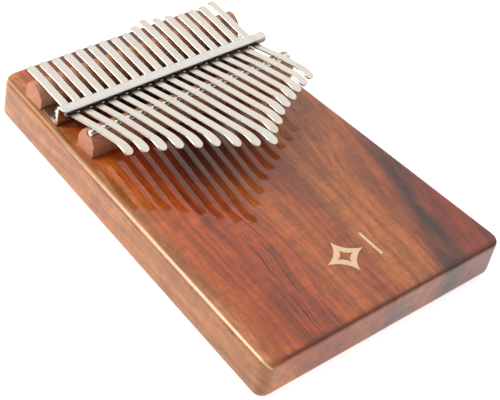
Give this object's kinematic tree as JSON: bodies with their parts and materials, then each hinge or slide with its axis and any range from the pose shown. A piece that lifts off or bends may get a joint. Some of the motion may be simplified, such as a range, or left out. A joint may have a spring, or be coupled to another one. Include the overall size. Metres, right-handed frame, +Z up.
{
  "type": "mbira",
  "caption": "Solid-board thumb piano: tapered hardwood board, two bridges, toothed steel bracket and a row of sprung steel keys.",
  "frame": {"origin": "on the underside of the board, below the middle of its length and width", "axes": "+X to the player's right, +Y away from the player towards the keys' clamped ends, +Z up out of the playing face"},
  "size_m": [0.1314, 0.1864, 0.0431],
  "materials": {
    "board_wood": "figured reddish-brown hardwood under clear gloss lacquer",
    "inlay_wood": "pale maple inlay, flush under the lacquer",
    "bridge_wood": "light reddish hardwood, sanded and unlacquered",
    "tine_steel": "nickel-plated spring steel, satin",
    "bracket_nickel": "nickel-plated sheet steel",
    "rod_steel": "bright drawn steel rod",
    "screw_steel": "zinc-plated steel"
  },
  "bodies": {
    "instrument": {"board": "board_wood", "inlay_star": "inlay_wood", "inlay_bar": "inlay_wood", "rear_bridge": "bridge_wood", "front_bridge": "bridge_wood", "bridge_rod": "rod_steel", "tine_bracket": "bracket_nickel", "bracket_screw_1": "screw_steel", "bracket_screw_2": "screw_steel", "bracket_screw_3": "screw_steel", "bracket_screw_4": "screw_steel", "bracket_screw_5": "screw_steel", "tine_01_tail": "tine_steel", "tine_02_tail": "tine_steel", "tine_03_tail": "tine_steel", "tine_04_tail": "tine_steel", "tine_05_tail": "tine_steel", "tine_06_tail": "tine_steel", "tine_07_tail": "tine_steel", "tine_08_tail": "tine_steel", "tine_09_tail": "tine_steel", "tine_10_tail": "tine_steel", "tine_11_tail": "tine_steel", "tine_12_tail": "tine_steel", "tine_13_tail": "tine_steel", "tine_14_tail": "tine_steel", "tine_15_tail": "tine_steel", "tine_16_tail": "tine_steel", "tine_17_tail": "tine_steel"},
    "blade_01": {"tine_01_blade": "tine_steel"},
    "blade_02": {"tine_02_blade": "tine_steel"},
    "blade_03": {"tine_03_blade": "tine_steel"},
    "blade_04": {"tine_04_blade": "tine_steel"},
    "blade_05": {"tine_05_blade": "tine_steel"},
    "blade_06": {"tine_06_blade": "tine_steel"},
    "blade_07": {"tine_07_blade": "tine_steel"},
    "blade_08": {"tine_08_blade": "tine_steel"},
    "blade_09": {"tine_09_blade": "tine_steel"},
    "blade_10": {"tine_10_blade": "tine_steel"},
    "blade_11": {"tine_11_blade": "tine_steel"},
    "blade_12": {"tine_12_blade": "tine_steel"},
    "blade_13": {"tine_13_blade": "tine_steel"},
    "blade_14": {"tine_14_blade": "tine_steel"},
    "blade_15": {"tine_15_blade": "tine_steel"},
    "blade_16": {"tine_16_blade": "tine_steel"},
    "blade_17": {"tine_17_blade": "tine_steel"}
  },
  "joints": [
    {"name": "pluck_01", "type": "hinge", "parent": "instrument", "child": "blade_01", "pos_m": [-0.05016, 0.0343, 0.03265], "axis": [1, 0, 0], "range_deg": [-4, 4], "stiffness_Nm_per_rad": 4.22},
    {"name": "pluck_02", "type": "hinge", "parent": "instrument", "child": "blade_02", "pos_m": [-0.04389, 0.0343, 0.03265], "axis": [1, 0, 0], "range_deg": [-4, 4], "stiffness_Nm_per_rad": 3.84},
    {"name": "pluck_03", "type": "hinge", "parent": "instrument", "child": "blade_03", "pos_m": [-0.03762, 0.0343, 0.03265], "axis": [1, 0, 0], "range_deg": [-4, 4], "stiffness_Nm_per_rad": 3.38},
    {"name": "pluck_04", "type": "hinge", "parent": "instrument", "child": "blade_04", "pos_m": [-0.03135, 0.0343, 0.03265], "axis": [1, 0, 0], "range_deg": [-4, 4], "stiffness_Nm_per_rad": 3.07},
    {"name": "pluck_05", "type": "hinge", "parent": "instrument", "child": "blade_05", "pos_m": [-0.02508, 0.0343, 0.03265], "axis": [1, 0, 0], "range_deg": [-4, 4], "stiffness_Nm_per_rad": 2.7},
    {"name": "pluck_06", "type": "hinge", "parent": "instrument", "child": "blade_06", "pos_m": [-0.01881, 0.0343, 0.03265], "axis": [1, 0, 0], "range_deg": [-4, 4], "stiffness_Nm_per_rad": 2.45},
    {"name": "pluck_07", "type": "hinge", "parent": "instrument", "child": "blade_07", "pos_m": [-0.01254, 0.0343, 0.03265], "axis": [1, 0, 0], "range_deg": [-4, 4], "stiffness_Nm_per_rad": 2.15},
    {"name": "pluck_08", "type": "hinge", "parent": "instrument", "child": "blade_08", "pos_m": [-0.00627, 0.0343, 0.03265], "axis": [1, 0, 0], "range_deg": [-4, 4], "stiffness_Nm_per_rad": 1.96},
    {"name": "pluck_09", "type": "hinge", "parent": "instrument", "child": "blade_09", "pos_m": [0, 0.0343, 0.03265], "axis": [1, 0, 0], "range_deg": [-4, 4], "stiffness_Nm_per_rad": 1.84},
    {"name": "pluck_10", "type": "hinge", "parent": "instrument", "child": "blade_10", "pos_m": [0.00627, 0.0343, 0.03265], "axis": [1, 0, 0], "range_deg": [-4, 4], "stiffness_Nm_per_rad": 2.09},
    {"name": "pluck_11", "type": "hinge", "parent": "instrument", "child": "blade_11", "pos_m": [0.01254, 0.0343, 0.03265], "axis": [1, 0, 0], "range_deg": [-4, 4], "stiffness_Nm_per_rad": 2.3},
    {"name": "pluck_12", "type": "hinge", "parent": "instrument", "child": "blade_12", "pos_m": [0.01881, 0.0343, 0.03265], "axis": [1, 0, 0], "range_deg": [-4, 4], "stiffness_Nm_per_rad": 2.61},
    {"name": "pluck_13", "type": "hinge", "parent": "instrument", "child": "blade_13", "pos_m": [0.02508, 0.0343, 0.03265], "axis": [1, 0, 0], "range_deg": [-4, 4], "stiffness_Nm_per_rad": 2.88},
    {"name": "pluck_14", "type": "hinge", "parent": "instrument", "child": "blade_14", "pos_m": [0.03135, 0.0343, 0.03265], "axis": [1, 0, 0], "range_deg": [-4, 4], "stiffness_Nm_per_rad": 3.17},
    {"name": "pluck_15", "type": "hinge", "parent": "instrument", "child": "blade_15", "pos_m": [0.03762, 0.0343, 0.03265], "axis": [1, 0, 0], "range_deg": [-4, 4], "stiffness_Nm_per_rad": 3.6},
    {"name": "pluck_16", "type": "hinge", "parent": "instrument", "child": "blade_16", "pos_m": [0.04389, 0.0343, 0.03265], "axis": [1, 0, 0], "range_deg": [-4, 4], "stiffness_Nm_per_rad": 3.96},
    {"name": "pluck_17", "type": "hinge", "parent": "instrument", "child": "blade_17", "pos_m": [0.05016, 0.0343, 0.03265], "axis": [1, 0, 0], "range_deg": [-4, 4], "stiffness_Nm_per_rad": 4.5}
  ]
}
